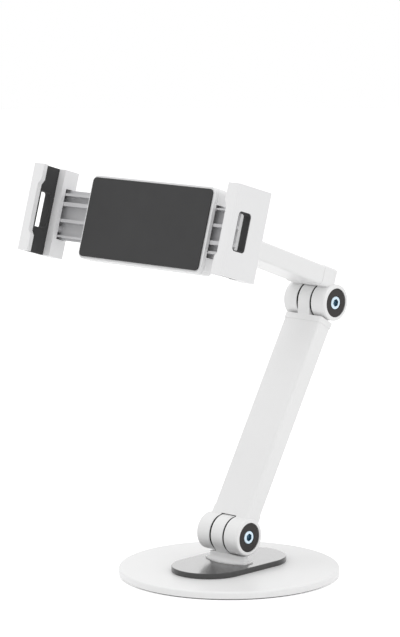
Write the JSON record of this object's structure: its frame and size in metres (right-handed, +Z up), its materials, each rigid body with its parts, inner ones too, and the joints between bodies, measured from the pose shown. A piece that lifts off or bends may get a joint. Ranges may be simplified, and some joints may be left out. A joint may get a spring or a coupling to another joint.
{
  "type": "tablet desk stand",
  "caption": "Desk stand: round weighted base, folding tube arms on friction hinges, and a tilting, swivelling clamp whose coupled jaws slide apart together to hold a tablet by its sides.",
  "frame": {"origin": "centre of the base pad's underside, on the desk", "axes": "+Z up, +X to the right along the hinge axes, -Y towards the user, whom the clamp faces"},
  "size_m": [0.1984, 0.222, 0.2997],
  "materials": {
    "white_steel": "white powder coat",
    "white_aluminium": "white powder coat on aluminium",
    "white_plastic": "moulded, fine satin",
    "grey_plastic": "moulded, satin",
    "dark_plate": "smooth, satin",
    "dark_plastic": "moulded, satin",
    "dark_rubber": "matte silicone",
    "dark_foam": "closed-cell foam, matte",
    "dark_nylon": "plain",
    "zinc_steel": "bright zinc plate"
  },
  "bodies": {
    "base": {"base_disc": "white_steel", "base_pad": "dark_foam", "base_plate": "dark_plate", "foot_bracket": "white_steel", "foot_screws": "zinc_steel"},
    "lower_arm": {"lower_fork": "white_aluminium", "lower_tube": "white_aluminium", "lower_knuckle": "white_aluminium", "lower_arm_screws": "zinc_steel", "base_hinge_bolt": "zinc_steel", "base_hinge_nut": "zinc_steel", "base_hinge_bolt_ring": "dark_plastic", "base_hinge_nut_cap": "dark_plastic", "base_hinge_washers": "dark_nylon"},
    "upper_arm": {"upper_fork": "white_aluminium", "upper_tube": "white_aluminium", "upper_knuckle": "white_aluminium", "upper_arm_screws": "zinc_steel", "elbow_bolt": "zinc_steel", "elbow_nut": "zinc_steel", "elbow_bolt_ring": "dark_plastic", "elbow_nut_cap": "dark_plastic", "elbow_washers": "dark_nylon"},
    "mount": {"holder_yoke": "white_aluminium", "tilt_bolt": "zinc_steel", "tilt_nut": "zinc_steel", "tilt_bolt_ring": "dark_plastic", "tilt_nut_cap": "dark_plastic", "tilt_washers": "dark_nylon"},
    "holder": {"holder_housing": "white_plastic", "holder_front_plate": "white_plastic", "holder_pad": "dark_rubber", "housing_screws": "zinc_steel", "swivel_washer": "dark_nylon", "swivel_bolt": "zinc_steel", "swivel_nut": "zinc_steel"},
    "jaw_right": {"jaw_right_shell": "white_plastic", "jaw_right_liner": "dark_rubber", "jaw_right_slide": "grey_plastic", "jaw_right_screws": "zinc_steel"},
    "jaw_left": {"jaw_left_shell": "white_plastic", "jaw_left_liner": "dark_rubber", "jaw_left_slide": "grey_plastic", "jaw_left_screws": "zinc_steel"},
    "pinion": {"drive_pinion": "grey_plastic"}
  },
  "joints": [
    {"name": "base_tilt", "type": "hinge", "parent": "base", "child": "lower_arm", "pos_m": [0, 0, 0.0297], "axis": [1, 0, 0], "range_deg": [-25, 35]},
    {"name": "elbow_fold", "type": "hinge", "parent": "lower_arm", "child": "upper_arm", "pos_m": [0, 0.09412, 0.19013], "axis": [1, 0, 0], "range_deg": [-70, 20]},
    {"name": "holder_tilt", "type": "hinge", "parent": "upper_arm", "child": "mount", "pos_m": [0, -0.04961, 0.25308], "axis": [1, 0, 0], "range_deg": [-65, 30]},
    {"name": "holder_spin", "type": "hinge", "parent": "mount", "child": "holder", "pos_m": [0, -0.08604, 0.26392], "axis": [0, -0.9585, 0.285], "continuous": true},
    {"name": "jaw_right_slide", "type": "slide", "parent": "holder", "child": "jaw_right", "axis": [1, 0, 0], "range_m": [-0.012, 0.02]},
    {"name": "jaw_left_slide", "type": "slide", "parent": "holder", "child": "jaw_left", "axis": [-1, 0, 0], "range_m": [-0.012, 0.02]},
    {"name": "pinion_spin", "type": "hinge", "parent": "holder", "child": "pinion", "pos_m": [0, -0.08604, 0.26392], "axis": [0, -0.9585, 0.285], "range_deg": [-70, 116]}
  ],
  "couplings": [
    {"joint": "jaw_left_slide", "follows": "jaw_right_slide", "ratio": 1},
    {"joint": "pinion_spin", "follows": "jaw_right_slide", "rad_per_m": 100}
  ]
}
